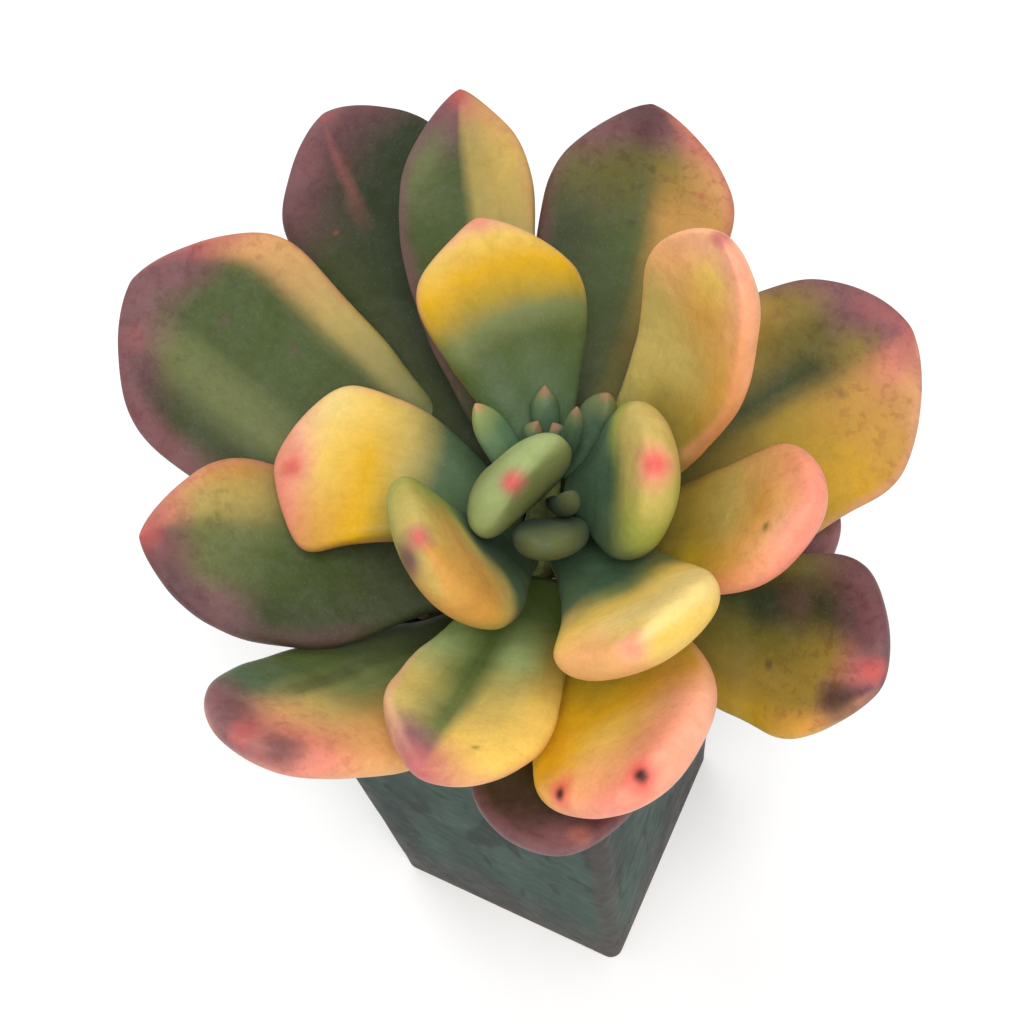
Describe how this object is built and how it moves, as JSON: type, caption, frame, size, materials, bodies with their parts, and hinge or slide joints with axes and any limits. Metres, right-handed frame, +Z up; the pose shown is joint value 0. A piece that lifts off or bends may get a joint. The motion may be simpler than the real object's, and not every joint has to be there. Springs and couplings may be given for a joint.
{
  "type": "potted succulent",
  "caption": "Potted succulent: a leaning rosette of plump spoon-shaped leaves in green, gold and pink on a short stem, in a tall square glazed pot.",
  "frame": {"origin": "centre of the pot's flat underside", "axes": "+Z up, the pot's four sides square to X and Y, -Y is the front; the rosette leans slightly to +X and +Y"},
  "size_m": [0.1155, 0.1057, 0.1405],
  "materials": {
    "pot": "satin",
    "soil": "matte",
    "stem": "matte",
    "leaf_back_left": "satin",
    "leaf_back_centre": "satin",
    "leaf_back_right": "satin",
    "leaf_left_upper": "satin",
    "leaf_right_upper": "satin",
    "leaf_left_lower": "satin",
    "leaf_low_left": "satin",
    "leaf_low_front": "satin",
    "leaf_right_lower": "satin",
    "leaf_right_under": "satin",
    "leaf_front_right": "satin",
    "leaf_front_left": "satin",
    "leaf_mid_back": "satin",
    "leaf_mid_back_right": "satin",
    "leaf_mid_left": "satin",
    "leaf_mid_right": "satin",
    "leaf_mid_front": "satin",
    "leaf_inner_left": "satin",
    "leaf_inner_right": "satin",
    "leaf_heart_front": "satin",
    "leaf_heart_low": "satin",
    "leaf_heart_bud": "satin",
    "leaf_heart_left": "satin",
    "leaf_heart_back": "satin",
    "leaf_heart_tip_a": "satin",
    "leaf_heart_tip_b": "satin",
    "leaf_heart_tip_c": "satin",
    "leaf_heart_right": "satin"
  },
  "bodies": {
    "root": {"pot": "pot", "soil": "soil", "stem": "stem", "leaf_back_left": "leaf_back_left", "leaf_back_centre": "leaf_back_centre", "leaf_back_right": "leaf_back_right", "leaf_left_upper": "leaf_left_upper", "leaf_right_upper": "leaf_right_upper", "leaf_left_lower": "leaf_left_lower", "leaf_low_left": "leaf_low_left", "leaf_low_front": "leaf_low_front", "leaf_right_lower": "leaf_right_lower", "leaf_right_under": "leaf_right_under", "leaf_front_right": "leaf_front_right", "leaf_front_left": "leaf_front_left", "leaf_mid_back": "leaf_mid_back", "leaf_mid_back_right": "leaf_mid_back_right", "leaf_mid_left": "leaf_mid_left", "leaf_mid_right": "leaf_mid_right", "leaf_mid_front": "leaf_mid_front", "leaf_inner_left": "leaf_inner_left", "leaf_inner_right": "leaf_inner_right", "leaf_heart_front": "leaf_heart_front", "leaf_heart_low": "leaf_heart_low", "leaf_heart_bud": "leaf_heart_bud", "leaf_heart_left": "leaf_heart_left", "leaf_heart_back": "leaf_heart_back", "leaf_heart_tip_a": "leaf_heart_tip_a", "leaf_heart_tip_b": "leaf_heart_tip_b", "leaf_heart_tip_c": "leaf_heart_tip_c", "leaf_heart_right": "leaf_heart_right"}
  },
  "joints": []
}
